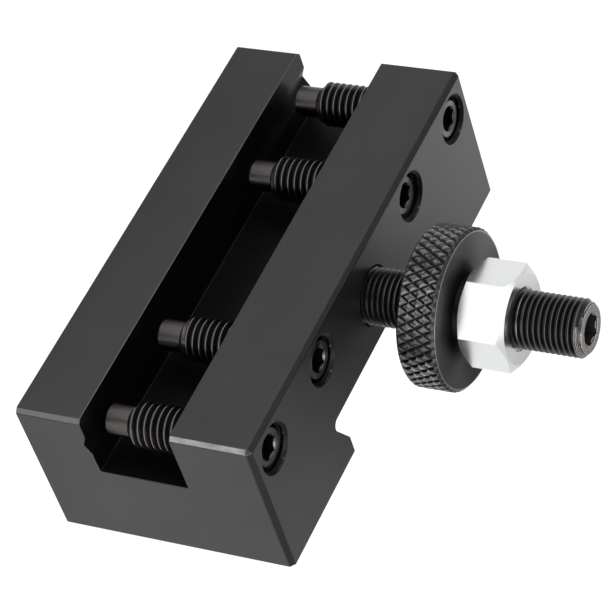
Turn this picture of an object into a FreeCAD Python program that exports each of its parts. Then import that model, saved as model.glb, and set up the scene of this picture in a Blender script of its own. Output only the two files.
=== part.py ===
import FreeCAD, Part
import os
import re
import Sketcher

# Quick change tool holder for a lathe: a steel block with a shank slot in front,
# a dovetail behind, four dog point clamp screws and a height stud with its two nuts.
# Frame: origin in the middle of the bottom face, X along the block, Y to the back, Z up.

doc = FreeCAD.newDocument("tool_holder")
sheet = doc.addObject("Spreadsheet::Sheet", "Sizes")

table = {
    # block
    "body_length": 88.9,
    "body_depth": 29.0,
    "body_height": 43.7,
    "edge_chamfer": 0.8,
    # shank slot, open to the front and to both ends, with a groove for round shanks
    "lower_wall": 12.2,
    "slot_width": 16.7,
    "slot_depth": 12.5,
    "groove_from_front": 6.2,
    "groove_width": 4.4,
    "groove_depth": 0.95,
    # dovetail, open to the back and through the height; its angle is from the depth
    "dovetail_mouth": 37.8,
    "dovetail_depth": 10.1,
    "dovetail_lip": 3.65,
    "dovetail_angle": 31.0,
    "dovetail_radius": 1.3,
    # clamp screws, M8 x 1.25, two by two from the ends of the block
    "screw_from_end": 6.35,
    "screw_spacing": 19.05,
    "screw_from_front": 6.0,
    "screw_crest": 7.9,
    "screw_length": 29.0,
    "screw_end_chamfer": 0.75,
    "dog_diameter": 5.4,
    "dog_length": 4.3,
    "dog_tip_chamfer": 0.3,
    "dog_shoulder": 1.2,
    "screw_key": 4.0,
    "screw_key_depth": 4.0,
    "screw_lead_in": 0.5,
    # how far each screw's tip stands above the slot's lower wall
    "tip_gap_1": 1.7,
    "tip_gap_2": 1.3,
    "tip_gap_3": 1.8,
    "tip_gap_4": 1.4,
    # height stud, M10 x 1
    "stud_from_front": 10.7,
    "stud_crest": 9.86,
    "stud_length": 50.0,
    "stud_above_top": 39.2,
    "stud_end_chamfer": 0.9,
    "stud_key": 5.0,
    "stud_key_depth": 5.5,
    "stud_lead_in": 0.42,
    # knurled height nut with a hub on its upper face; walls are from the bore outwards
    "nut_above_top": 10.6,
    "nut_diameter": 27.6,
    "nut_thickness": 6.9,
    "nut_edge_chamfer": 0.5,
    "hub_wall": 1.52,
    "hub_height": 1.3,
    "nut_lead_in": 0.47,
    # hexagon lock nut, turned about the stud as it is tightened
    "lock_wall": 3.02,
    "lock_height": 8.4,
    "lock_face_inset": 0.35,
    "lock_corner_angle": 30.0,
    "lock_turn": 40.5,
    "lock_lead_in": 0.52,
    # running clearance of every thread, on the radius
    "thread_clearance": 0.05,
    # how far a cutting outline reaches past the block
    "cut_overrun": 2.0,
}
for row, (name, number) in enumerate(table.items(), 1):
    sheet.set("A%d" % row, name)
    sheet.set("B%d" % row, repr(number))
    sheet.setAlias("B%d" % row, name)
doc.recompute()


def bound(text):
    # an expression with its sizes named as the other objects of the document call them
    def full_name(word):
        return "Sizes." + word.group() if word.group() in table else word.group()

    return re.sub("[a-z][a-z_0-9]*", full_name, text)


def value(text):
    # what an expression comes to with the sheet's present numbers
    result = sheet.evalExpression(bound(text))
    return float(getattr(result, "Value", result))


def new_body(name):
    body = doc.addObject("PartDesign::Body", name)
    body.Label = name
    return body


def new_sketch(body, name, role, lift=None, turn=None):
    # sketch on one of the body's own planes, raised and turned if asked
    sketch = body.newObject("Sketcher::SketchObject", name)
    planes = [item for item in body.Origin.OriginFeatures if item.Role == role]
    sketch.AttachmentSupport = (planes[0], "")
    sketch.MapMode = "FlatFace"
    if lift:
        sketch.setExpression("AttachmentOffset.Base.z", bound(lift))
    if turn:
        sketch.setExpression("AttachmentOffset.Rotation.Angle", bound(turn))
    return sketch


def hold(sketch, geometry, end, point):
    # keeps a point at its two distances from the sketch's origin
    for axis, kind, line, text in ((0, "DistanceX", -2, point[0]), (1, "DistanceY", -1, point[1])):
        if text == "0":
            sketch.addConstraint(Sketcher.Constraint("PointOnObject", geometry, end, line))
            continue
        number = sketch.addConstraint(Sketcher.Constraint(kind, -1, 1, geometry, end, value(text)))
        sketch.setExpression("Constraints[%d]" % number, bound(text))


def outline(sketch, points):
    # closed outline of straight lines through points given as pairs of expressions
    places = [FreeCAD.Vector(value(x), value(y), 0) for x, y in points]
    count = len(points)
    for i in range(count):
        sketch.addGeometry(Part.LineSegment(places[i], places[(i + 1) % count]), False)
    for i in range(count):
        sketch.addConstraint(Sketcher.Constraint("Coincident", i, 2, (i + 1) % count, 1))
    for i in range(count):
        hold(sketch, i, 1, points[i])


def add_feature(body, kind, name, profile=None):
    feature = body.newObject("PartDesign::" + kind, name)
    if profile:
        feature.Profile = profile
    return feature


def finish_cut(body, feature, before):
    # a cut that points away from the solid shows no error, so the volume is compared
    body.Tip = feature
    doc.recompute()
    if feature.Shape.Volume >= before - 0.001:
        raise RuntimeError(feature.Name + " cuts nothing")


def cut_both_ways(body, name, sketch, length):
    before = body.Tip.Shape.Volume
    cut = add_feature(body, "Pocket", name, sketch)
    cut.Type = 0
    cut.Midplane = True
    cut.setExpression("Length", bound(length))
    finish_cut(body, cut, before)


def turned(body, name, points, cut=False):
    # half section turned about the body's Z axis, added to the body or cut from it
    sketch = new_sketch(body, name + "_section", "XZ_Plane")
    outline(sketch, points)
    before = body.Tip.Shape.Volume if cut else 0
    solid = add_feature(body, "Groove" if cut else "Revolution", name, sketch)
    solid.ReferenceAxis = (sketch, ["V_Axis"])
    solid.Angle = 360
    if cut:
        finish_cut(body, solid, before)
        return
    body.Tip = solid
    doc.recompute()


def hexagon(body, name, flats, lift=None, turn=None):
    # regular hexagon about the axis, with two corners on the sketch's X axis
    sketch = new_sketch(body, name, "XY_Plane", lift, turn)
    points = []
    for i in range(6):
        x = "%s / sqrt(3) * cos(%d deg)" % (flats, 60 * i)
        y = "0" if i in (0, 3) else "%s / sqrt(3) * sin(%d deg)" % (flats, 60 * i)
        points.append((x, y))
    outline(sketch, points)
    return sketch


def key_socket(body, name, key, depth, length):
    # hexagon socket in the upper end, with a drilled point below and a small lead-in
    floor = length + " - " + depth
    before = body.Tip.Shape.Volume
    socket = add_feature(body, "Pocket", name, hexagon(body, name + "_hexagon", key, length))
    socket.Type = 0
    socket.setExpression("Length", bound(depth))
    finish_cut(body, socket, before)
    point_depth = "%s / 2 * tan(30 deg)" % key
    turned(body, name + "_point", [
        ("0", floor),
        (key + " / 2", floor),
        ("0", floor + " - " + point_depth),
    ], cut=True)
    turned(body, name + "_lead_in", [
        ("0", length),
        (key + " / sqrt(3)", length),
        ("0", length + " - " + key + " / sqrt(3)"),
    ], cut=True)


def tapped_holes(body, name, places, crest, depth, lead_in):
    # straight holes down from the top face, each with a countersunk mouth
    sketch = new_sketch(body, name + "_places", "XY_Plane", "body_height")
    for i, place in enumerate(places):
        centre = FreeCAD.Vector(value(place[0]), value(place[1]), 0)
        sketch.addGeometry(Part.Circle(centre, FreeCAD.Vector(0, 0, 1), value(crest) / 2), False)
        size = sketch.addConstraint(Sketcher.Constraint("Diameter", i, value(crest)))
        sketch.setExpression("Constraints[%d]" % size, bound(crest))
        hold(sketch, i, 3, place)
    before = body.Tip.Shape.Volume
    holes = add_feature(body, "Hole", name, sketch)
    doc.recompute()
    holes.ThreadType = 0
    holes.DepthType = 0
    holes.DrillPoint = 0
    bore_size = crest + " + 2 * thread_clearance"
    holes.setExpression("Diameter", bound(bore_size))
    holes.setExpression("Depth", bound(depth))
    holes.HoleCutType = "Countersink"
    holes.HoleCutCustomValues = True
    holes.setExpression("HoleCutDiameter", bound(bore_size + " + 2 * " + lead_in))
    holes.HoleCutCountersinkAngle = 90
    finish_cut(body, holes, before)


# The block: a bar with chamfers round the top and up the front corners; the edges of the bottom
# and of the back are left square
front = "-body_depth / 2"
back = "body_depth / 2"
block = new_body("holder_body")
bar_section = new_sketch(block, "bar_section", "YZ_Plane")
outline(bar_section, [
    (front, "0"),
    (back, "0"),
    (back, "body_height"),
    (front + " + edge_chamfer", "body_height"),
    (front, "body_height - edge_chamfer"),
])
bar = add_feature(block, "Pad", "bar", bar_section)
bar.Midplane = True
bar.setExpression("Length", bound("body_length"))
block.Tip = bar
doc.recompute()



def same(a, b):
    # whether two places are one
    return abs(a - b) < 1e-6


end_edges = []
for i, edge in enumerate(bar.Shape.Edges, 1):
    middle = edge.CenterOfMass
    at_end = same(abs(middle.x), value("body_length / 2"))
    square_edge = same(middle.z, 0) or same(middle.y, value(back))
    if at_end and not square_edge:
        end_edges.append("Edge%d" % i)
end_chamfers = add_feature(block, "Chamfer", "end_chamfers")
end_chamfers.Base = (bar, end_edges)
end_chamfers.setExpression("Size", bound("edge_chamfer"))
block.Tip = end_chamfers
doc.recompute()

# The shank slot with the shallow groove in its lower wall
groove_y = front + " + groove_from_front"
slot_section = new_sketch(block, "slot_section", "YZ_Plane")
outline(slot_section, [
    (front + " - cut_overrun", "lower_wall"),
    (groove_y + " - groove_width / 2", "lower_wall"),
    (groove_y, "lower_wall - groove_depth"),
    (groove_y + " + groove_width / 2", "lower_wall"),
    (front + " + slot_depth", "lower_wall"),
    (front + " + slot_depth", "lower_wall + slot_width"),
    (front + " - cut_overrun", "lower_wall + slot_width"),
])
cut_both_ways(block, "shank_slot", slot_section, "body_length + 2 * cut_overrun")

# The dovetail: straight lips at the mouth, slanted flanks, a flat floor and rounded roots
half_mouth = "dovetail_mouth / 2"
half_floor = half_mouth + " + (dovetail_depth - dovetail_lip) * tan(dovetail_angle * 1 deg)"
floor_y = back + " - dovetail_depth"
dovetail_section = new_sketch(block, "dovetail_section", "XY_Plane")
outline(dovetail_section, [
    ("-" + half_mouth, back + " + cut_overrun"),
    ("-" + half_mouth, back + " - dovetail_lip"),
    ("-(" + half_floor + ")", floor_y),
    (half_floor, floor_y),
    (half_mouth, back + " - dovetail_lip"),
    (half_mouth, back + " + cut_overrun"),
])
cut_both_ways(block, "dovetail", dovetail_section, "2 * body_height + 2 * cut_overrun")

cut_block = block.Tip
root_edges = []
for i, edge in enumerate(cut_block.Shape.Edges, 1):
    middle = edge.BoundBox.Center
    upright = edge.BoundBox.ZLength > value("body_height") / 2
    at_root = abs(abs(middle.x) - value(half_floor)) < 1e-3 and abs(middle.y - value(floor_y)) < 1e-3
    if upright and at_root:
        root_edges.append("Edge%d" % i)
roots = add_feature(block, "Fillet", "dovetail_roots")
roots.Base = (cut_block, root_edges)
roots.setExpression("Radius", bound("dovetail_radius"))
block.Tip = roots
doc.recompute()

# Tapped holes: four from the top face into the slot, and a blind one for the stud
screw_y = front + " + screw_from_front"
outer_x = "body_length / 2 - screw_from_end"
inner_x = outer_x + " - screw_spacing"
screw_places = [
    ("-(" + outer_x + ")", screw_y),
    ("-(" + inner_x + ")", screw_y),
    (inner_x, screw_y),
    (outer_x, screw_y),
]
stud_y = front + " + stud_from_front"
tapped_holes(
    block, "screw_holes", screw_places,
    "screw_crest", "body_height - lower_wall - slot_width + cut_overrun", "screw_lead_in",
)
tapped_holes(
    block, "stud_hole", [("0", stud_y)],
    "stud_crest", "stud_length - stud_above_top", "stud_lead_in",
)

# Four clamp screws: dog point, threaded shank at its crest diameter, hexagon socket
screws = []
for i, place in enumerate(screw_places, 1):
    screw = new_body("clamp_screw_%d" % i)
    turned(screw, "screw_%d_shape" % i, [
        ("0", "0"),
        ("dog_diameter / 2 - dog_tip_chamfer", "0"),
        ("dog_diameter / 2", "dog_tip_chamfer"),
        ("dog_diameter / 2", "dog_length"),
        ("screw_crest / 2", "dog_length + dog_shoulder"),
        ("screw_crest / 2", "screw_length - screw_end_chamfer"),
        ("screw_crest / 2 - screw_end_chamfer", "screw_length"),
        ("0", "screw_length"),
    ])
    key_socket(screw, "screw_%d_socket" % i, "screw_key", "screw_key_depth", "screw_length")
    screw.setExpression("Placement.Base.x", bound(place[0]))
    screw.setExpression("Placement.Base.y", bound(place[1]))
    screw.setExpression("Placement.Base.z", bound("lower_wall + tip_gap_%d" % i))
    screws.append(screw)

# Height stud, screwed home in its blind hole
stud = new_body("height_stud")
turned(stud, "stud_shape", [
    ("0", "0"),
    ("stud_crest / 2 - stud_end_chamfer", "0"),
    ("stud_crest / 2", "stud_end_chamfer"),
    ("stud_crest / 2", "stud_length - stud_end_chamfer"),
    ("stud_crest / 2 - stud_end_chamfer", "stud_length"),
    ("0", "stud_length"),
])
key_socket(stud, "stud_socket", "stud_key", "stud_key_depth", "stud_length")
stud.setExpression("Placement.Base.y", bound(stud_y))
stud.setExpression("Placement.Base.z", bound("body_height + stud_above_top - stud_length"))

# Height nut: a turned disc with a hub; its bore runs on the stud's thread
bore = "stud_crest / 2 + thread_clearance"
nut_top = "nut_thickness + hub_height"
height_nut = new_body("height_nut")
turned(height_nut, "height_nut_shape", [
    (bore + " + nut_lead_in", "0"),
    ("nut_diameter / 2 - nut_edge_chamfer", "0"),
    ("nut_diameter / 2", "nut_edge_chamfer"),
    ("nut_diameter / 2", "nut_thickness - nut_edge_chamfer"),
    ("nut_diameter / 2 - nut_edge_chamfer", "nut_thickness"),
    (bore + " + hub_wall", "nut_thickness"),
    (bore + " + hub_wall", nut_top),
    (bore + " + nut_lead_in", nut_top),
    (bore, nut_top + " - nut_lead_in"),
    (bore, "nut_lead_in"),
])
height_nut.setExpression("Placement.Base.y", bound(stud_y))
height_nut.setExpression("Placement.Base.z", bound("body_height + nut_above_top"))

# Lock nut: a hexagon prism with its corners turned off at both faces, seated on the hub
half_flats = bore + " + lock_wall"
lock_nut = new_body("lock_nut")
lock_hexagon = hexagon(lock_nut, "hexagon", "2 * (" + half_flats + ")", turn="lock_turn * 1 deg")
prism = add_feature(lock_nut, "Pad", "prism", lock_hexagon)
prism.setExpression("Length", bound("lock_height"))
lock_nut.Tip = prism
doc.recompute()
face_edge = half_flats + " - lock_face_inset"
corner_fall = "(" + half_flats + ") * tan(lock_corner_angle * 1 deg)"
turned(lock_nut, "upper_corners", [
    (face_edge, "lock_height"),
    (face_edge + " + " + half_flats, "lock_height"),
    (face_edge + " + " + half_flats, "lock_height - " + corner_fall),
], cut=True)
turned(lock_nut, "lower_corners", [
    (face_edge, "0"),
    (face_edge + " + " + half_flats, "0"),
    (face_edge + " + " + half_flats, corner_fall),
], cut=True)
turned(lock_nut, "lock_bore", [
    ("0", "0"),
    (bore + " + lock_lead_in", "0"),
    (bore, "lock_lead_in"),
    (bore, "lock_height - lock_lead_in"),
    (bore + " + lock_lead_in", "lock_height"),
    ("0", "lock_height"),
], cut=True)
lock_nut.setExpression("Placement.Base.y", bound(stud_y))
lock_seat = "body_height + nut_above_top + nut_thickness + hub_height"
lock_nut.setExpression("Placement.Base.z", bound(lock_seat))
doc.recompute()

# Every object has to be sound before a solid is written
for item in doc.Objects:
    for flag in item.State:
        if "Invalid" in flag or "Error" in flag:
            raise RuntimeError(item.Name + " is " + flag)
pieces = [block] + screws + [stud, height_nut, lock_nut]
for piece in pieces:
    shape = piece.Shape
    if shape.isNull() or not shape.isValid() or len(shape.Solids) != 1:
        raise RuntimeError(piece.Label + " is not one sound solid")

os.makedirs("parts", exist_ok=True)
for piece in pieces:
    piece.Shape.exportStep("parts/" + piece.Label + ".step")
    box = piece.Shape.BoundBox
    print("%-14s %9.1f mm3, z %.2f to %.2f" % (piece.Label, piece.Shape.Volume, box.ZMin, box.ZMax))
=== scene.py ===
import math

import bmesh
import bpy
from mathutils import Matrix, Vector


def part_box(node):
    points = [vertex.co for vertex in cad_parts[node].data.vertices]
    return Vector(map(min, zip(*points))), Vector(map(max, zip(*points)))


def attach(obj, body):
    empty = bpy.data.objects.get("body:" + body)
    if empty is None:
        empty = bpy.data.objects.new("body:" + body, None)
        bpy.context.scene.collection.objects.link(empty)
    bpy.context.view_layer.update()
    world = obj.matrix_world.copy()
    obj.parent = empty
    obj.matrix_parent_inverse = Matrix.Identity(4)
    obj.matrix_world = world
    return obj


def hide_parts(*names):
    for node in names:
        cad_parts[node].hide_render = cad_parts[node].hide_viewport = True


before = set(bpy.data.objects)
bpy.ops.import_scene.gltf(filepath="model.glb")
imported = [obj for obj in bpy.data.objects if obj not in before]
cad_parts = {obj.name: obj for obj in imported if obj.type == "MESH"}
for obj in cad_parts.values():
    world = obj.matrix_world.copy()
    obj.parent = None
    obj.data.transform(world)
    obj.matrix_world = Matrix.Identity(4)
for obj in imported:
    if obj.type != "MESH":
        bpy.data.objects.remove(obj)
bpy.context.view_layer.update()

# The block: a bar of tool steel milled all over, with the shank slot, the dovetail and five
# tapped holes cut into it, then hot blackened. It keeps the CAD solid's form; what is added is
# the small break on every edge and the threads in the holes.

MM = 0.001
BLOCK_CHAMFER = 0.8
EDGE_BREAK = 0.12
SLOT_LOW = 12.2
SLOT_HIGH = 28.9
SLOT_DEPTH = 12.5
GROOVE_FROM_FRONT = 6.2
GROOVE_WIDTH = 4.4
GROOVE_DEPTH = 0.95
DOVETAIL_MOUTH = 37.8
DOVETAIL_DEPTH = 10.1
DOVETAIL_LIP = 3.65
DOVETAIL_ANGLE = math.radians(31)
DOVETAIL_RADIUS = 1.3
DOVETAIL_ARC_STEPS = 8
OVERRUN = 2.0
DEBURRED_ANGLE = math.radians(20)
CREASE = 35
WIDE_FACE = 4.0

# threads: the profile's corners and depth are shares of the pitch, and a tapped groove's depth
# is a share of its lead-in
THREAD_ANGLE = math.radians(60)
CREST_END = 1 / 16
ROOT_START = 0.417
THREAD_DEPTH = 0.6134
TAPPED_SHARE = 0.8
THREAD_CLEARANCE = 0.05
SCREW_PITCH = 1.25
SCREW_LEAD_IN = 0.5
STUD_PITCH = 1.0
STUD_LEAD_IN = 0.42
AROUND = 72
LEAST_STEP = 1e-5
FLOOR_STEP = 0.01


def box_mm(node):
    # lowest and highest corner of a CAD node, in millimetres
    low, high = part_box(node)
    return Vector(low) / MM, Vector(high) / MM


def thread_depth(turn, pitch):
    # depth below the crest of a 60 degree thread, with a flat crest and a flat root
    from_crest = abs(turn - round(turn)) * pitch
    slope = max(from_crest - CREST_END * pitch, 0) * math.tan(THREAD_ANGLE)
    return min(slope, THREAD_DEPTH * pitch)


def ring(bm, radius, height, angles=None):
    # closed ring of points about Z; radius and height are numbers or functions of the angle
    points = []
    for angle in angles or [math.tau * i / AROUND for i in range(AROUND)]:
        r = radius(angle) if callable(radius) else radius
        z = height(angle) if callable(height) else height
        points.append(bm.verts.new((r * math.cos(angle), r * math.sin(angle), z)))
    return points


def join(bm, lower, upper):
    # wall between two rings with the same number of points
    for i in range(len(lower)):
        k = (i + 1) % len(lower)
        bm.faces.new((lower[i], lower[k], upper[k], upper[i]))


def close(bm, points, height):
    # cone or flat disc from a ring to one point on the axis
    tip = bm.verts.new((0, 0, height))
    for i in range(len(points)):
        bm.faces.new((points[i - 1], points[i], tip))


def thread_wall(bm, low, high, pitch, radius, start=0):
    # wall with a right-handed thread: its rows of points follow the helix at the corners of the
    # thread's profile, and points past either end are pulled back onto it; start is in turns
    stations = (CREST_END, ROOT_START, 1 - ROOT_START, 1 - CREST_END)
    turns = range(-2, math.ceil((high - low) / pitch) + 2)
    rows = [start + n + s for n in turns for s in stations]
    columns = []
    for i in range(AROUND):
        angle = math.tau * i / AROUND
        column = []
        for row in rows:
            z = min(max(low + pitch * (row + i / AROUND - 1), low), high)
            if not column or z > column[-1].co.z + LEAST_STEP:
                r = radius((z - low) / pitch - start - i / AROUND, z)
                column.append(bm.verts.new((r * math.cos(angle), r * math.sin(angle), z)))
            else:
                column.append(column[-1])
        columns.append(column)
    step = len(stations)
    columns.append(columns[0][step:] + columns[0][-1:] * step)
    for a, b in zip(columns, columns[1:]):
        for j in range(len(rows) - 1):
            corners = list(dict.fromkeys((a[j], b[j], b[j + 1], a[j + 1])))
            if len(corners) > 2:
                bm.faces.new(corners)
    return [c[0] for c in columns[:-1]], [c[-1] for c in columns[:-1]]


def new_piece(name, bm, material=None, crease=CREASE):
    # finished mesh in millimetres becomes a piece in metres; edges sharper than the crease, in
    # degrees, stay crisp
    bmesh.ops.recalc_face_normals(bm, faces=bm.faces)
    mesh = bpy.data.meshes.new(name)
    bm.to_mesh(mesh)
    bm.free()
    mesh.transform(Matrix.Scale(MM, 4))
    mesh.shade_smooth()
    mesh.set_sharp_from_angle(angle=math.radians(crease))
    piece = bpy.data.objects.new(name, mesh)
    bpy.context.scene.collection.objects.link(piece)
    if material:
        mesh.materials.append(material)
    return piece


def prism(name, outline, along, start, end):
    # cutter with the same outline all along X or Z
    bm = bmesh.new()
    rings = []
    for place in (start, end):
        points = [(place, a, b) if along == "X" else (a, b, place) for a, b in outline]
        rings.append([bm.verts.new(p) for p in points])
    join(bm, *rings)
    for points in rings:
        bm.faces.new(points)
    return new_piece(name, bm)


def cut_away(piece, cutter):
    # takes the cutter's space out of the piece, as a mill or a drill does
    cut = piece.modifiers.new("cut", "BOOLEAN")
    cut.operation = "DIFFERENCE"
    cut.solver = "EXACT"
    cut.object = cutter
    graph = bpy.context.evaluated_depsgraph_get()
    mesh = bpy.data.meshes.new_from_object(piece.evaluated_get(graph))
    piece.modifiers.clear()
    piece.data = mesh
    bpy.data.objects.remove(cutter)


block_low, block_high = box_mm("holder_body")
front, back = block_low.y, block_high.y
top = block_high.z

bar = bmesh.new()
bmesh.ops.create_cube(bar, size=1)
for vert in bar.verts:
    for k in range(3):
        vert.co[k] = block_low[k] if vert.co[k] < 0 else block_high[k]
square_edges = [
    e for e in bar.edges
    if all(v.co.z == block_low.z for v in e.verts) or all(v.co.y == back for v in e.verts)
]
chamfered = [e for e in bar.edges if e not in square_edges]
bmesh.ops.bevel(bar, geom=chamfered, offset=BLOCK_CHAMFER, segments=1, affect="EDGES")
block = new_piece("milled_block", bar)

groove_middle = front + GROOVE_FROM_FRONT
cut_away(block, prism("slot_cutter", [
    (front - OVERRUN, SLOT_LOW),
    (groove_middle - GROOVE_WIDTH / 2, SLOT_LOW),
    (groove_middle, SLOT_LOW - GROOVE_DEPTH),
    (groove_middle + GROOVE_WIDTH / 2, SLOT_LOW),
    (front + SLOT_DEPTH, SLOT_LOW),
    (front + SLOT_DEPTH, SLOT_HIGH),
    (front - OVERRUN, SLOT_HIGH),
], "X", block_low.x - OVERRUN, block_high.x + OVERRUN))

# the dovetail's half outline, from the mouth to the rounded root, then mirrored
dovetail_floor = back - DOVETAIL_DEPTH
root_x = DOVETAIL_MOUTH / 2 + (DOVETAIL_DEPTH - DOVETAIL_LIP) * math.tan(DOVETAIL_ANGLE)
root_turn = (math.pi / 2 + DOVETAIL_ANGLE) / 2
arc_x = root_x - DOVETAIL_RADIUS / math.tan(math.pi / 2 - root_turn)
half = [(DOVETAIL_MOUTH / 2, back + OVERRUN), (DOVETAIL_MOUTH / 2, back - DOVETAIL_LIP)]
for step in range(DOVETAIL_ARC_STEPS + 1):
    angle = DOVETAIL_ANGLE - 2 * root_turn * step / DOVETAIL_ARC_STEPS
    half.append((
        arc_x + DOVETAIL_RADIUS * math.cos(angle),
        dovetail_floor + DOVETAIL_RADIUS + DOVETAIL_RADIUS * math.sin(angle),
    ))
outline = half + [(-x, y) for x, y in reversed(half)]
cut_away(block, prism("dovetail_cutter", outline, "Z", block_low.z - OVERRUN, top + OVERRUN))

# deburring: every edge so far is broken by a small round
edges = bmesh.new()
edges.from_mesh(block.data)
sharp = [
    e for e in edges.edges
    if len(e.link_faces) == 2 and e.calc_face_angle() > DEBURRED_ANGLE
]
bmesh.ops.bevel(edges, geom=sharp, offset=EDGE_BREAK * MM, segments=2, profile=0.5, affect="EDGES")
edges.to_mesh(block.data)
edges.free()


def hole_cutter(name, node, pitch, lead_in, bottom):
    # tap's path: the bore takes its place and size from the piece that screws into it, and its
    # thread is cut outwards from there, up to the countersunk mouth
    low, high = box_mm(node)
    bore = (high.x - low.x) / 2 + THREAD_CLEARANCE
    groove = lead_in * TAPPED_SHARE

    def radius(turn, z):
        return max(bore + max(groove - thread_depth(turn, pitch), 0), bore + z - top + lead_in)

    bm = bmesh.new()
    floor = ring(bm, bore, bottom)
    close(bm, floor, bottom)
    wall_low, wall_high = thread_wall(bm, bottom + FLOOR_STEP, top, pitch, radius)
    join(bm, floor, wall_low)
    upper = ring(bm, bore + lead_in + OVERRUN, top + OVERRUN)
    join(bm, wall_high, upper)
    close(bm, upper, top + OVERRUN)
    middle = (low + high) / 2
    bmesh.ops.translate(bm, verts=bm.verts, vec=(middle.x, middle.y, 0))
    return new_piece(name, bm)


for i in range(1, 5):
    cut_away(block, hole_cutter(
        "tap_%d" % i, "clamp_screw_%d" % i, SCREW_PITCH, SCREW_LEAD_IN, SLOT_HIGH - OVERRUN))
stud_foot = box_mm("height_stud")[0].z
cut_away(block, hole_cutter("tap_5", "height_stud", STUD_PITCH, STUD_LEAD_IN, stud_foot))

# the wide faces are shaded flat, the rest smooth between its crisp edges
block.data.shade_smooth()
block.data.set_sharp_from_angle(angle=math.radians(CREASE))
for face in block.data.polygons:
    face.use_smooth = face.area < WIDE_FACE * MM * MM


def linear(hex_colour):
    # sRGB hex to the linear colour that a node takes
    channels = [int(hex_colour[i:i + 2], 16) / 255 for i in (1, 3, 5)]
    return [c / 12.92 if c <= 0.04045 else ((c + 0.055) / 1.055) ** 2.4 for c in channels] + [1]


def new_material(name):
    # material without nodes, and its tree
    material = bpy.data.materials.new(name)
    material.use_nodes = True
    material.node_tree.nodes.clear()
    return material, material.node_tree


def add_node(tree, kind, inputs=None, **settings):
    # adds a node; an input that is another node's output is linked
    node = tree.nodes.new(kind)
    for name, value in settings.items():
        setattr(node, name, value)
    for socket, value in (inputs or {}).items():
        if isinstance(value, bpy.types.NodeSocket):
            tree.links.new(value, node.inputs[socket])
        else:
            node.inputs[socket].default_value = value
    return node


# Hot black oxide on ground steel: a thin magnetite skin, even and satin, with the grinding
# still just felt under it
GROUND_GRAIN = 0.25
OXIDE_CLOUD = 9

black_oxide, tree = new_material("black_oxide_ground_steel")
place = add_node(tree, "ShaderNodeTexCoord").outputs["Object"]
grain = add_node(tree, "ShaderNodeTexNoise", {
    "Vector": place, "Scale": 1 / (GROUND_GRAIN * MM), "Detail": 3})
cloud = add_node(tree, "ShaderNodeTexNoise", {
    "Vector": place, "Scale": 1 / (OXIDE_CLOUD * MM), "Detail": 4})
tone = add_node(tree, "ShaderNodeMixRGB", {
    "Fac": cloud.outputs["Fac"], "Color1": linear("#2d2d2d"), "Color2": linear("#333333")})
satin = add_node(tree, "ShaderNodeMapRange", {
    "Value": grain.outputs["Fac"], "To Min": 0.36, "To Max": 0.46})
bump = add_node(tree, "ShaderNodeBump", {
    "Height": grain.outputs["Fac"], "Strength": 0.12, "Distance": 0.01 * MM})
shader = add_node(tree, "ShaderNodeBsdfPrincipled", {
    "Base Color": tone.outputs["Color"], "Metallic": 1.0,
    "Roughness": satin.outputs["Result"], "Normal": bump.outputs["Normal"]})
add_node(tree, "ShaderNodeOutputMaterial", {"Surface": shader.outputs["BSDF"]})


def grained(name, size, dark, light, sockets):
    # plain skin that wanders between two tones in grains of one size; sockets are the shader's own
    material, tree = new_material(name)
    place = add_node(tree, "ShaderNodeTexCoord").outputs["Object"]
    grain = add_node(tree, "ShaderNodeTexNoise", {
        "Vector": place, "Scale": 1 / (size * MM), "Detail": 3})
    tone = add_node(tree, "ShaderNodeMixRGB", {
        "Fac": grain.outputs["Fac"], "Color1": linear(dark), "Color2": linear(light)})
    shader = add_node(tree, "ShaderNodeBsdfPrincipled", {
        "Base Color": tone.outputs["Color"], **sockets})
    add_node(tree, "ShaderNodeOutputMaterial", {"Surface": shader.outputs["BSDF"]})
    return material


# Painted shade: in the milled slot, the tapped holes and the screws' hexagon sockets the skin is
# painted near black, for the shade that lies in these recesses
recess_painted_shade = grained(
    "black_oxide_recess_painted_shade", 0.6, "#0b0b0b", "#141313",
    {"Metallic": 1.0, "Roughness": 0.45})

# Painted highlight: the corner chamfers at the front are painted lighter, more so above the slot
HIGHLIGHT_GRAIN = 1.2

chamfer_painted_highlight, tree = new_material("black_oxide_chamfer_painted_highlight")
place = add_node(tree, "ShaderNodeTexCoord").outputs["Object"]
grain = add_node(tree, "ShaderNodeTexNoise", {
    "Vector": place, "Scale": 1 / (HIGHLIGHT_GRAIN * MM), "Detail": 4})
height = add_node(tree, "ShaderNodeSeparateXYZ", {"Vector": place})
highlight_upwards = add_node(tree, "ShaderNodeMapRange", {
    "Value": height.outputs["Z"], "From Min": SLOT_LOW * MM, "From Max": SLOT_HIGH * MM})
light = add_node(tree, "ShaderNodeMixRGB", {
    "Fac": highlight_upwards.outputs["Result"], "Color1": linear("#5c5a59"), "Color2": linear("#8a8887")})
tone = add_node(tree, "ShaderNodeMixRGB", {
    "Fac": grain.outputs["Fac"], "Color1": linear("#4e4c4b"), "Color2": light.outputs["Color"]})
shader = add_node(tree, "ShaderNodeBsdfPrincipled", {
    "Base Color": tone.outputs["Color"], "Metallic": 1.0, "Roughness": 0.42})
add_node(tree, "ShaderNodeOutputMaterial", {"Surface": shader.outputs["BSDF"]})

# Painted shade: the chamfers round the top, and those on the nut's rim, are painted a darker black
chamfer_painted_shade = grained(
    "black_oxide_chamfer_painted_shade", 0.6, "#1d1d1d", "#252524",
    {"Metallic": 1.0, "Roughness": 0.42})

# what picks the block's faces for painted shade and highlight: the depth under its skin, how far in
# from the sides the holes' mouths are, and how much of a face's normal points up, or front and
# sideways
SKIN = 0.6
MOUTH_INWARDS = 1
LEAST_SLOPE = 0.1
MOST_SLOPE = 0.98
CORNERWISE = 0.65


def paint(piece, materials, choose):
    # gives each face the material whose number choose() works out from its centre and normal
    piece.data.materials.clear()
    for material in materials:
        piece.data.materials.append(material)
    for face in piece.data.polygons:
        face.material_index = choose(face.center / MM, face.normal)


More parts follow.
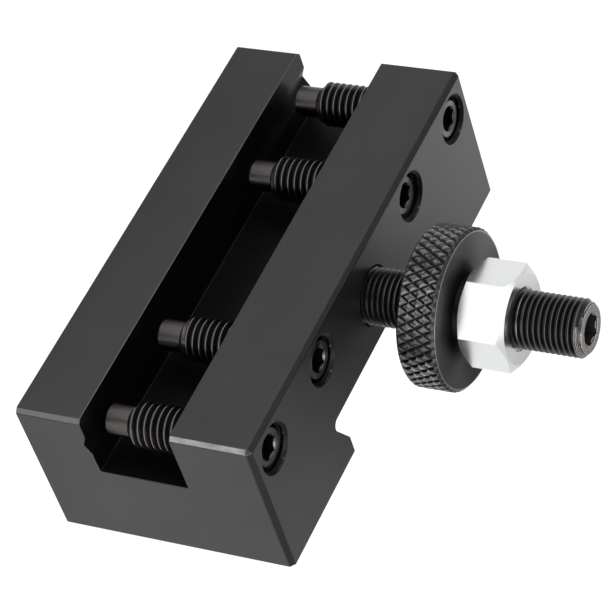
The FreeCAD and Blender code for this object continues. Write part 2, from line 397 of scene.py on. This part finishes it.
def block_skin(centre, normal):
    # 1, painted shade, in the slot and the holes; 2, painted highlight, on the front corner
    # chamfers;
    # 3, painted shade, on the top chamfers; else 0
    inwards = min(centre.y - front, block_high.x - abs(centre.x))
    depth = min(inwards, top - centre.z)
    slopes = LEAST_SLOPE < normal.z < MOST_SLOPE
    if centre.y < dovetail_floor - SKIN and (depth > SKIN or inwards > MOUTH_INWARDS and slopes):
        return 1
    if slopes and centre.z > top - BLOCK_CHAMFER - EDGE_BREAK:
        return 3
    return 2 if normal.y < -CORNERWISE and abs(normal.x) > CORNERWISE else 0


paint(block, (black_oxide, recess_painted_shade, chamfer_painted_highlight, chamfer_painted_shade), block_skin)
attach(block, "holder")
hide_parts("holder_body")

# Clamp screws: alloy steel set screws with a turned dog point, a rolled thread and a hexagon
# socket, blackened and oiled. The four are alike and sit where the CAD has them.

DOG_RADIUS = 2.7
DOG_LENGTH = 4.3
DOG_TIP_CHAMFER = 0.3
DOG_SHOULDER = 1.2
SCREW_END_CHAMFER = 0.75
SCREW_KEY = 4.0
SCREW_KEY_DEPTH = 4.0
DRILL_PER_KEY = 0.49
DRILL_POINT = math.radians(30)
THREAD_STARTS = (0.41, 0.45, 0.69, 0.24)
THREAD_CREASE = 40


def hexagon(flats):
    # distance from the axis to a hexagon's side, at an angle; two corners lie on the X axis
    return lambda angle: flats / 2 / math.cos(angle % math.radians(60) - math.radians(30))


def key_socket(bm, rim, key, depth, length):
    # socket for a hexagon key in the end face: lead-in cone, hexagon walls, drill point
    corner = key / math.sqrt(3)
    side = hexagon(key)
    mouth = ring(bm, corner, length)
    walls = ring(bm, side, lambda angle: length - corner + side(angle))
    floor = ring(bm, side, length - depth)
    drill = ring(bm, key * DRILL_PER_KEY, length - depth)
    join(bm, rim, mouth)
    join(bm, mouth, walls)
    join(bm, walls, floor)
    join(bm, floor, drill)
    close(bm, drill, length - depth - key / 2 * math.tan(DRILL_POINT))


def off_axis(tree, place):
    # distance from the piece's own axis, in metres
    across = add_node(tree, "ShaderNodeVectorMath", {0: place, 1: (1, 1, 0)}, operation="MULTIPLY")
    length = add_node(tree, "ShaderNodeVectorMath", {
        0: across.outputs["Vector"]}, operation="LENGTH")
    return length.outputs["Value"]


OILED_GRAIN = 0.4
CREST_WEAR_AND_HIGHLIGHT_START = 0.2
CREST_WEAR_AND_HIGHLIGHT_FULL = 0.04


def oiled_oxide(name, crest, crest_wear_and_highlight_tone):
    # oiled black oxide, lighter and smoother on the thread's crests, partly wear and partly painted
    # highlight
    material, tree = new_material(name)
    place = add_node(tree, "ShaderNodeTexCoord").outputs["Object"]
    grain = add_node(tree, "ShaderNodeTexNoise", {
        "Vector": place, "Scale": 1 / (OILED_GRAIN * MM), "Detail": 3})
    dark = add_node(tree, "ShaderNodeMixRGB", {
        "Fac": grain.outputs["Fac"], "Color1": linear("#1d1c1c"), "Color2": linear("#292727")})
    wear_and_highlight = add_node(tree, "ShaderNodeMapRange", {
        "Value": off_axis(tree, place),
        "From Min": (crest - CREST_WEAR_AND_HIGHLIGHT_START) * MM, "From Max": (crest - CREST_WEAR_AND_HIGHLIGHT_FULL) * MM})
    tone = add_node(tree, "ShaderNodeMixRGB", {
        "Fac": wear_and_highlight.outputs["Result"],
        "Color1": dark.outputs["Color"], "Color2": linear(crest_wear_and_highlight_tone)})
    sheen = add_node(tree, "ShaderNodeMapRange", {
        "Value": wear_and_highlight.outputs["Result"], "To Min": 0.36, "To Max": 0.26})
    shader = add_node(tree, "ShaderNodeBsdfPrincipled", {
        "Base Color": tone.outputs["Color"], "Metallic": 1.0, "Roughness": sheen.outputs["Result"]})
    add_node(tree, "ShaderNodeOutputMaterial", {"Surface": shader.outputs["BSDF"]})
    return material


# The dog and the end face are turned after the thread is rolled: their oxide is thin, and the
# tool's rings spread each reflection across themselves, along lines from a point below the tip
TURNED_GRAIN = 0.5
POINT_BELOW = 30

turned_end, tree = new_material("turned_end_thin_oxide")
place = add_node(tree, "ShaderNodeTexCoord").outputs["Object"]
grain = add_node(tree, "ShaderNodeTexNoise", {
    "Vector": place, "Scale": 1 / (TURNED_GRAIN * MM), "Detail": 4})
tone = add_node(tree, "ShaderNodeMixRGB", {
    "Fac": grain.outputs["Fac"], "Color1": linear("#302e2d"), "Color2": linear("#434140")})
across = add_node(tree, "ShaderNodeVectorMath", {
    0: place, 1: (0, 0, POINT_BELOW * MM)}, operation="ADD")
shader = add_node(tree, "ShaderNodeBsdfPrincipled", {
    "Base Color": tone.outputs["Color"], "Metallic": 1.0, "Roughness": 0.34,
    "Anisotropic": 0.85, "Tangent": across.outputs["Vector"]})
add_node(tree, "ShaderNodeOutputMaterial", {"Surface": shader.outputs["BSDF"]})

# a face of the upper end has at least this much of its normal along the axis
END_FACING = 0.5


def end_skin(length, key, end_chamfer, dog_length=0):
    # 1 in the hexagon socket, 2 on the dog, the end chamfer and the end face, 0 elsewhere
    def choose(centre, normal):
        if centre.z > length - end_chamfer and normal.z > END_FACING:
            return 2
        if centre.z > length / 2 and math.hypot(centre.x, centre.y) < key / math.sqrt(3):
            return 1
        return 2 if centre.z < dog_length else 0
    return choose


screw_low, screw_high = box_mm("clamp_screw_1")
screw_crest = (screw_high.x - screw_low.x) / 2
screw_steel = oiled_oxide("oiled_black_oxide_screw_steel", screw_crest, "#5e5b59")

for i in range(1, 5):
    node = "clamp_screw_%d" % i
    low, high = box_mm(node)
    crest = (high.x - low.x) / 2
    length = high.z - low.z

    def screw_radius(turn, z):
        shoulder = DOG_RADIUS + (z - DOG_LENGTH) * (crest - DOG_RADIUS) / DOG_SHOULDER
        end = crest - SCREW_END_CHAMFER + length - z
        return min(crest - thread_depth(turn, SCREW_PITCH), shoulder, end)

    bm = bmesh.new()
    tip = ring(bm, DOG_RADIUS - DOG_TIP_CHAMFER, 0)
    tip_edge = ring(bm, DOG_RADIUS, DOG_TIP_CHAMFER)
    close(bm, tip, 0)
    join(bm, tip, tip_edge)
    start = THREAD_STARTS[i - 1]
    wall_low, wall_high = thread_wall(bm, DOG_LENGTH, length, SCREW_PITCH, screw_radius, start)
    join(bm, tip_edge, wall_low)
    key_socket(bm, wall_high, SCREW_KEY, SCREW_KEY_DEPTH, length)
    screw = new_piece("dog_point_screw_%d" % i, bm, crease=THREAD_CREASE)
    skin = end_skin(length, SCREW_KEY, SCREW_END_CHAMFER, DOG_LENGTH)
    # the hexagon sockets take the painted shade of the slot and holes
    paint(screw, (screw_steel, recess_painted_shade, turned_end), skin)
    screw.location = Vector(((low.x + high.x) / 2, (low.y + high.y) / 2, low.z)) * MM
    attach(screw, "screw_%d" % i)
    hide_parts(node)

# Height stud: a length of fine threaded rod, blackened like the screws, screwed home in its
# blind hole by the hexagon socket in its upper end.

STUD_END_CHAMFER = 0.9
STUD_KEY = 5.0
STUD_KEY_DEPTH = 5.5
TURNING_FEED = 0.3

stud_low, stud_high = box_mm("height_stud")
stud_crest = (stud_high.x - stud_low.x) / 2
stud_length = stud_high.z - stud_low.z
stud_middle = (stud_low + stud_high) / 2


def stud_radius(turn, z):
    end = min(z, stud_length - z)
    return min(stud_crest - thread_depth(turn, STUD_PITCH), stud_crest - STUD_END_CHAMFER + end)


bm = bmesh.new()
wall_low, wall_high = thread_wall(bm, 0, stud_length, STUD_PITCH, stud_radius)
close(bm, wall_low, 0)
key_socket(bm, wall_high, STUD_KEY, STUD_KEY_DEPTH, stud_length)
stud_steel = oiled_oxide("oiled_black_oxide_stud_steel", stud_crest, "#4a4847")

# The stud's upper end is lighter in patches along the rings of the turning tool, partly wear and
# partly painted highlight. The wave texture's period is a twentieth of tau at a scale of 1
END_WEAR_AND_HIGHLIGHT_GRAIN = 0.4
WAVE_PERIOD = math.tau / 20

end_wear_and_highlight, tree = new_material("turned_stud_end_wear_and_painted_highlight")
place = add_node(tree, "ShaderNodeTexCoord").outputs["Object"]
grain = add_node(tree, "ShaderNodeTexNoise", {
    "Vector": place, "Scale": 1 / (END_WEAR_AND_HIGHLIGHT_GRAIN * MM), "Detail": 4})
rings = add_node(tree, "ShaderNodeTexWave", {
    "Vector": place, "Scale": WAVE_PERIOD / (TURNING_FEED * MM),
    "Distortion": 1.5, "Detail": 2}, wave_type="RINGS", rings_direction="Z")
wear_and_highlight = add_node(tree, "ShaderNodeMath", {
    0: grain.outputs["Fac"], 1: rings.outputs["Fac"]}, operation="MULTIPLY")
wear_and_highlight = add_node(tree, "ShaderNodeMapRange", {
    "Value": wear_and_highlight.outputs[0], "From Min": 0.1, "From Max": 0.55})
tone = add_node(tree, "ShaderNodeMixRGB", {
    "Fac": wear_and_highlight.outputs["Result"], "Color1": linear("#302e2d"), "Color2": linear("#a09d9a")})
shader = add_node(tree, "ShaderNodeBsdfPrincipled", {
    "Base Color": tone.outputs["Color"], "Metallic": 1.0, "Roughness": 0.34})
add_node(tree, "ShaderNodeOutputMaterial", {"Surface": shader.outputs["BSDF"]})

# Painted shade: the stud's socket is painted near black, and hardly any light comes back
socket_painted_shade = grained(
    "stud_socket_painted_shade", 0.5, "#060606", "#0f0e0e",
    {"Roughness": 0.75, "Specular IOR Level": 0.05})

stud = new_piece("threaded_stud", bm, crease=THREAD_CREASE)
skin = end_skin(stud_length, STUD_KEY, STUD_END_CHAMFER)
# the socket takes its painted shade, the end its wear and painted highlight
paint(stud, (stud_steel, socket_painted_shade, end_wear_and_highlight), skin)
stud.location = Vector((stud_middle.x, stud_middle.y, stud_low.z)) * MM
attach(stud, "holder")
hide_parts("height_stud")

# Height nut: a turned steel disc with a diamond knurl rolled into its rim and a low hub on
# its upper face, blackened. It runs on the stud and sets the holder's height on its post.

NUT_THICKNESS = 6.9
NUT_CHAMFER = 0.5
HUB_RADIUS = 6.5
HUB_CHAMFER = 0.15
NUT_LEAD_IN = 0.47
NUT_CREASE = 25
KNURLS_AROUND = 51
KNURL_ANGLE = math.radians(30)
KNURL_DEPTH = 0.26
KNURL_TOP = 0.5
WELD = 0.001
ON_EDGE = 1e-4

nut_low, nut_high = box_mm("height_nut")
nut_radius = (nut_high.x - nut_low.x) / 2
nut_height = nut_high.z - nut_low.z
bore = stud_crest + THREAD_CLEARANCE
knurl_pitch = math.tau * nut_radius / KNURLS_AROUND
knurl_rise = knurl_pitch / math.tan(KNURL_ANGLE)


def flat_between(bm, outer, inner):
    # flat face between two rings in one plane, whatever their numbers of points
    edges = []
    for points in (outer, inner):
        for i in range(len(points)):
            pair = (points[i - 1], points[i])
            edges.append(bm.edges.get(pair) or bm.edges.new(pair))
    bmesh.ops.triangle_fill(bm, edges=edges, use_beauty=True)


def knurled_band(bm, low, high):
    # flat sheet of diamonds between two families of grooves, trimmed to the band's width and
    # then rolled round the rim; returns the points along its two edges
    rows = math.ceil((high - low) / knurl_rise) * 2 + 2
    reach = ((-knurl_pitch / 2, 0), (0, -knurl_rise / 2), (knurl_pitch / 2, 0), (0, knurl_rise / 2))
    for row in range(-2, rows):
        for i in range(KNURLS_AROUND):
            x = (i + row / 2) * knurl_pitch
            y = low + row * knurl_rise / 2
            foot = [bm.verts.new((x + a, y + b, -KNURL_DEPTH)) for a, b in reach]
            flat = [bm.verts.new((x + a * KNURL_TOP, y + b * KNURL_TOP, 0)) for a, b in reach]
            join(bm, foot, flat)
            bm.faces.new(flat)
    for height, side in ((low, -1), (high, 1)):
        bmesh.ops.bisect_plane(
            bm, geom=bm.verts[:] + bm.edges[:] + bm.faces[:],
            plane_co=(0, height, 0), plane_no=(0, side, 0), clear_outer=True)
    for vert in bm.verts:
        angle = vert.co.x / nut_radius
        r = nut_radius + vert.co.z
        vert.co = (r * math.cos(angle), r * math.sin(angle), vert.co.y)
    bmesh.ops.remove_doubles(bm, verts=bm.verts, dist=WELD)
    bands = []
    for height in (low, high):
        band = [v for v in bm.verts if abs(v.co.z - height) < ON_EDGE and v.is_boundary]
        bands.append(sorted(band, key=lambda v: math.atan2(v.co.y, v.co.x) % math.tau))
    return bands


def tapped_bore(height, lead_in):
    # bore cut with the stud's thread and countersunk at both ends
    groove = lead_in * TAPPED_SHARE

    def radius(turn, z):
        mouth = bore + lead_in - min(z, height - z)
        return max(bore + max(groove - thread_depth(turn, STUD_PITCH), 0), mouth)
    return radius


bm = bmesh.new()
rim_low, rim_high = knurled_band(bm, NUT_CHAMFER, NUT_THICKNESS - NUT_CHAMFER)
angles_low = [math.atan2(v.co.y, v.co.x) for v in rim_low]
angles_high = [math.atan2(v.co.y, v.co.x) for v in rim_high]
under_rim = ring(bm, nut_radius - NUT_CHAMFER, 0, angles_low)
upper_rim = ring(bm, nut_radius - NUT_CHAMFER, NUT_THICKNESS, angles_high)
join(bm, rim_low, under_rim)
join(bm, rim_high, upper_rim)
hub_foot = ring(bm, HUB_RADIUS, NUT_THICKNESS)
hub_edge = ring(bm, HUB_RADIUS, nut_height - HUB_CHAMFER)
hub_face = ring(bm, HUB_RADIUS - HUB_CHAMFER, nut_height)
nut_bore = tapped_bore(nut_height, NUT_LEAD_IN)
bore_low, bore_high = thread_wall(bm, 0, nut_height, STUD_PITCH, nut_bore)
flat_between(bm, upper_rim, hub_foot)
join(bm, hub_foot, hub_edge)
join(bm, hub_edge, hub_face)
join(bm, hub_face, bore_high)
flat_between(bm, under_rim, bore_low)

# The turned faces keep the tool's fine rings; painted shade darkens them towards the hub, under the
# lock nut, and a painted highlight runs round the rim as a thin light line
HUB_SHADE_RADIUS = 7.5
SHADE_END_RADIUS = 12.5
RIM_HIGHLIGHT_LINE = 0.22
face_radius = nut_radius - NUT_CHAMFER

turned_oxide, tree = new_material("black_oxide_turned_steel")
place = add_node(tree, "ShaderNodeTexCoord").outputs["Object"]
radius = off_axis(tree, place)
outwards = add_node(tree, "ShaderNodeMapRange", {
    "Value": radius, "From Min": HUB_SHADE_RADIUS * MM, "From Max": SHADE_END_RADIUS * MM})
hub_painted_shade = add_node(tree, "ShaderNodeMixRGB", {
    "Fac": outwards.outputs["Result"], "Color1": linear("#121212"), "Color2": linear("#313131")})
edge = add_node(tree, "ShaderNodeMapRange", {
    "Value": radius,
    "From Min": (face_radius - RIM_HIGHLIGHT_LINE) * MM, "From Max": face_radius * MM})
tone = add_node(tree, "ShaderNodeMixRGB", {
    "Fac": edge.outputs["Result"], "Color1": hub_painted_shade.outputs["Color"], "Color2": linear("#a5a2a0")})
shader = add_node(tree, "ShaderNodeBsdfPrincipled", {
    "Base Color": tone.outputs["Color"], "Metallic": 1.0, "Roughness": 0.42,
    "Anisotropic": 0.8, "Tangent": place})
add_node(tree, "ShaderNodeOutputMaterial", {"Surface": shader.outputs["BSDF"]})

# On the knurl painted shade blackens the grooves, and the diamonds' tops are lighter in patches,
# partly wear and partly painted highlight; the limits between them are shares of the knurl's depth,
# down from the tops
GROOVE_SHADE_END = 0.6
WEAR_AND_HIGHLIGHT_START = 0.15
WEAR_AND_HIGHLIGHT_FULL = 0.05
PATCH = 0.5

knurled_oxide, tree = new_material("black_oxide_knurled_steel")
place = add_node(tree, "ShaderNodeTexCoord").outputs["Object"]
radius = off_axis(tree, place)
rise = add_node(tree, "ShaderNodeMapRange", {
    "Value": radius, "From Min": (nut_radius - KNURL_DEPTH) * MM,
    "From Max": (nut_radius - GROOVE_SHADE_END * KNURL_DEPTH) * MM})
slope = add_node(tree, "ShaderNodeMixRGB", {
    "Fac": rise.outputs["Result"], "Color1": linear("#060606"), "Color2": linear("#262525")})
wear_and_highlight = add_node(tree, "ShaderNodeMapRange", {
    "Value": radius, "From Min": (nut_radius - WEAR_AND_HIGHLIGHT_START * KNURL_DEPTH) * MM,
    "From Max": (nut_radius - WEAR_AND_HIGHLIGHT_FULL * KNURL_DEPTH) * MM})
patchy = add_node(tree, "ShaderNodeTexNoise", {
    "Vector": place, "Scale": 1 / (PATCH * MM), "Detail": 3})
patchy = add_node(tree, "ShaderNodeMapRange", {
    "Value": patchy.outputs["Fac"], "From Min": 0.35, "From Max": 0.65})
worn_and_highlit = add_node(tree, "ShaderNodeMixRGB", {
    "Fac": patchy.outputs["Result"], "Color1": linear("#222121"), "Color2": linear("#5e5c5b")})
tone = add_node(tree, "ShaderNodeMixRGB", {
    "Fac": wear_and_highlight.outputs["Result"],
    "Color1": slope.outputs["Color"], "Color2": worn_and_highlit.outputs["Color"]})
shader = add_node(tree, "ShaderNodeBsdfPrincipled", {
    "Base Color": tone.outputs["Color"], "Metallic": 1.0, "Roughness": 0.3})
add_node(tree, "ShaderNodeOutputMaterial", {"Surface": shader.outputs["BSDF"]})

# how much of a face's normal lies along the axis: more on the flat faces, less on the knurl
LEVEL = 0.9
UPRIGHT = 0.5


def nut_skin(centre, normal):
    # 1 on the knurl, 2 on the rim's chamfers, 0 on the turned faces
    if math.hypot(centre.x, centre.y) < face_radius or abs(normal.z) > LEVEL:
        return 0
    return 1 if abs(normal.z) < UPRIGHT else 2


nut = new_piece("knurled_nut", bm, crease=NUT_CREASE)
# the rim's chamfers take the painted shade of the block's top chamfers
paint(nut, (turned_oxide, knurled_oxide, chamfer_painted_shade), nut_skin)
nut.location = Vector((stud_middle.x, stud_middle.y, nut_low.z)) * MM
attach(nut, "height_nut")
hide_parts("height_nut")

# Lock nut: a plain hexagon nut, chamfered on both faces and bright zinc plated, drawn down
# onto the height nut's hub to hold the height.

LOCK_FLATS = 16.0
LOCK_FACE_RADIUS = 7.65
LOCK_CORNER_RADIUS = 9.15
LOCK_CHAMFER_ANGLE = math.radians(30)
LOCK_LEAD_IN = 0.52
LOCK_TURN = math.radians(40.5)
# points along one side of the hexagon, in degrees from its corner
SIDE_POINTS = (0, 1, 3, 10, 20, 30, 40, 50, 57, 59)

lock_low, lock_high = box_mm("lock_nut")
lock_height = lock_high.z - lock_low.z
lock_angles = [math.radians(60 * side + a) for side in range(6) for a in SIDE_POINTS]


def lock_side(angle):
    # distance from the axis to the nut's side, whose corners are turned off a little
    return min(hexagon(LOCK_FLATS)(angle), LOCK_CORNER_RADIUS)


def lock_fall(angle):
    # how far the turned chamfer has dropped where it meets the hexagon's side
    return (lock_side(angle) - LOCK_FACE_RADIUS) * math.tan(LOCK_CHAMFER_ANGLE)


bm = bmesh.new()
face_low = ring(bm, LOCK_FACE_RADIUS, 0, lock_angles)
side_low = ring(bm, lock_side, lock_fall, lock_angles)
side_high = ring(bm, lock_side, lambda angle: lock_height - lock_fall(angle), lock_angles)
face_high = ring(bm, LOCK_FACE_RADIUS, lock_height, lock_angles)
lock_bore = tapped_bore(lock_height, LOCK_LEAD_IN)
bore_low, bore_high = thread_wall(bm, 0, lock_height, STUD_PITCH, lock_bore)
join(bm, face_low, side_low)
join(bm, side_low, side_high)
join(bm, side_high, face_high)
flat_between(bm, face_low, bore_low)
flat_between(bm, face_high, bore_high)
bmesh.ops.rotate(bm, verts=bm.verts, matrix=Matrix.Rotation(LOCK_TURN, 3, "Z"))

# Zinc is laid on by electroplating: pale, smooth and slightly clouded
PLATING_GRAIN = 0.8

zinc, tree = new_material("bright_zinc_plated_steel")
place = add_node(tree, "ShaderNodeTexCoord").outputs["Object"]
grain = add_node(tree, "ShaderNodeTexNoise", {
    "Vector": place, "Scale": 1 / (PLATING_GRAIN * MM), "Detail": 4})
tone = add_node(tree, "ShaderNodeMixRGB", {
    "Fac": grain.outputs["Fac"], "Color1": linear("#c6c7c8"), "Color2": linear("#d2d3d3")})
satin = add_node(tree, "ShaderNodeMapRange", {
    "Value": grain.outputs["Fac"], "To Min": 0.2, "To Max": 0.28})
shader = add_node(tree, "ShaderNodeBsdfPrincipled", {
    "Base Color": tone.outputs["Color"], "Metallic": 1.0, "Roughness": satin.outputs["Result"]})
add_node(tree, "ShaderNodeOutputMaterial", {"Surface": shader.outputs["BSDF"]})

lock = new_piece("hexagon_lock_nut", bm, zinc, crease=NUT_CREASE)
lock.location = Vector((stud_middle.x, stud_middle.y, lock_low.z)) * MM
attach(lock, "lock_nut")
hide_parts("lock_nut")

# Floor, light and camera: a plain white table under soft lamps, seen from the photograph's
# place, which the block's perspective gives. The camera is rolled, so that the stud points to
# the right of the picture.

FLOOR_SIZE = 6.0
TABLE_SEEN = 0.5
TABLE_CAMERA = 0.3
TABLE_GLOW = 1.1
SKY_LIGHT = 0.5
SKY_SEEN = 1.0


def seen_rays(tree):
    # two values: 1 for rays from the camera, and 1 for those and any by way of gloss or glass
    rays = add_node(tree, "ShaderNodeLightPath").outputs
    seen = add_node(tree, "ShaderNodeMath", {
        0: rays["Is Camera Ray"], 1: rays["Is Glossy Ray"]}, operation="MAXIMUM")
    seen = add_node(tree, "ShaderNodeMath", {
        0: seen.outputs[0], 1: rays["Is Transmission Ray"]}, operation="MAXIMUM")
    return rays["Is Camera Ray"], seen.outputs[0]


def stage_object(name, bm, material):
    # finished mesh in metres becomes an object of the stage
    mesh = bpy.data.meshes.new(name)
    bm.to_mesh(mesh)
    bm.free()
    mesh.materials.append(material)
    thing = bpy.data.objects.new(name, mesh)
    bpy.context.scene.collection.objects.link(thing)
    return thing


# the table glows where it is seen, so that it comes out white, and is only pale to other light
white_table, tree = new_material("white_table")
from_camera, seen = seen_rays(tree)
share = add_node(tree, "ShaderNodeMath", {0: from_camera, 1: TABLE_CAMERA}, operation="MULTIPLY")
share = add_node(tree, "ShaderNodeMath", {
    0: seen, 1: TABLE_SEEN, 2: share.outputs[0]}, operation="MULTIPLY_ADD")
matt = add_node(tree, "ShaderNodeBsdfDiffuse", {"Color": linear("#e8e8e8")})
glow = add_node(tree, "ShaderNodeEmission", {"Color": linear("#ffffff"), "Strength": TABLE_GLOW})
mixed = add_node(tree, "ShaderNodeMixShader", {
    0: share.outputs[0], 1: matt.outputs["BSDF"], 2: glow.outputs["Emission"]})
add_node(tree, "ShaderNodeOutputMaterial", {"Surface": mixed.outputs["Shader"]})

bm = bmesh.new()
bmesh.ops.create_grid(bm, x_segments=1, y_segments=1, size=FLOOR_SIZE / 2)
table = stage_object("table", bm, white_table)

world = bpy.data.worlds.new("studio")
bpy.context.scene.world = world
world.use_nodes = True
tree = world.node_tree
tree.nodes.clear()
seen = seen_rays(tree)[1]
level = add_node(tree, "ShaderNodeMapRange", {
    "Value": seen, "To Min": SKY_LIGHT, "To Max": SKY_SEEN})
sky = add_node(tree, "ShaderNodeBackground", {
    "Color": linear("#ffffff"), "Strength": level.outputs["Result"]})
add_node(tree, "ShaderNodeOutputWorld", {"Surface": sky.outputs["Background"]})

LAMP_AIM = (0, 0, 0.03)
lamps = (
    # name, place, aim, width, height and power
    ("right_box", (0.7, 0, 0.26), LAMP_AIM, 1.0, 0.5, 10.5),
    ("front_box", (0, -0.7, 0.26), LAMP_AIM, 1.0, 0.5, 10.8),
    ("front_left_box", (-0.35, -0.61, 0.26), LAMP_AIM, 1.0, 0.5, 3.0),
    ("overhead", (-0.17, 0.1, 1.0), LAMP_AIM, 0.8, 0.8, 1.5),
    ("right_card", (0.295, -0.052, 0.12), LAMP_AIM, 0.15, 0.15, 0.5),
    ("far_card", (-0.25, 0.2, 0.16), LAMP_AIM, 0.08, 0.08, 0.04),
    ("table_card", (0.08, -0.02, 0.12), (0.08, -0.02, 0), 0.06, 0.06, 0.14),
)
for name, place, aim, width, tall, power in lamps:
    light = bpy.data.lights.new(name, "AREA")
    light.shape = "RECTANGLE"
    light.size, light.size_y = width, tall
    light.energy = power
    lamp = bpy.data.objects.new(name, light)
    bpy.context.scene.collection.objects.link(lamp)
    lamp.location = place
    lamp.rotation_euler = (Vector(aim) - Vector(place)).to_track_quat("-Z", "Y").to_euler()

# a small black flag behind the block shades the middle of its top; only reflections show it
black_cloth, tree = new_material("black_flag_cloth")
matt = add_node(tree, "ShaderNodeBsdfDiffuse", {"Color": linear("#050505")})
add_node(tree, "ShaderNodeOutputMaterial", {"Surface": matt.outputs["BSDF"]})

FLAG_PLACE = Vector((-0.055, 0.078, 0.083))
FLAG_AIM = Vector((0.008, 0, 0.0437))
FLAG_WIDTH = 0.04
FLAG_HEIGHT = 0.042

bm = bmesh.new()
corners = ((-1, -1), (1, -1), (1, 1), (-1, 1))
bm.faces.new([bm.verts.new((a * FLAG_WIDTH / 2, b * FLAG_HEIGHT / 2, 0)) for a, b in corners])
flag = stage_object("flag", bm, black_cloth)
flag.location = FLAG_PLACE
flag.rotation_euler = (FLAG_AIM - FLAG_PLACE).to_track_quat("-Z", "Y").to_euler()
flag.visible_camera = False

CAMERA_PLACE = (0.28304, -0.34659, 0.25300)
CAMERA_RIGHT = Vector((-0.39960, 0.24301, 0.88389))
CAMERA_AHEAD = Vector((-0.56440, 0.69457, -0.44612))
LENS = 172.6

camera = bpy.data.objects.new("camera", bpy.data.cameras.new("camera"))
bpy.context.scene.collection.objects.link(camera)
camera.data.lens = LENS
camera.data.clip_start = 0.01
right = CAMERA_RIGHT.normalized()
up = right.cross(CAMERA_AHEAD).normalized()
turn = Matrix((right, up, right.cross(up))).transposed()
camera.matrix_world = Matrix.Translation(CAMERA_PLACE) @ turn.to_4x4()
bpy.context.scene.camera = camera
bpy.context.scene.view_settings.view_transform = "Standard"
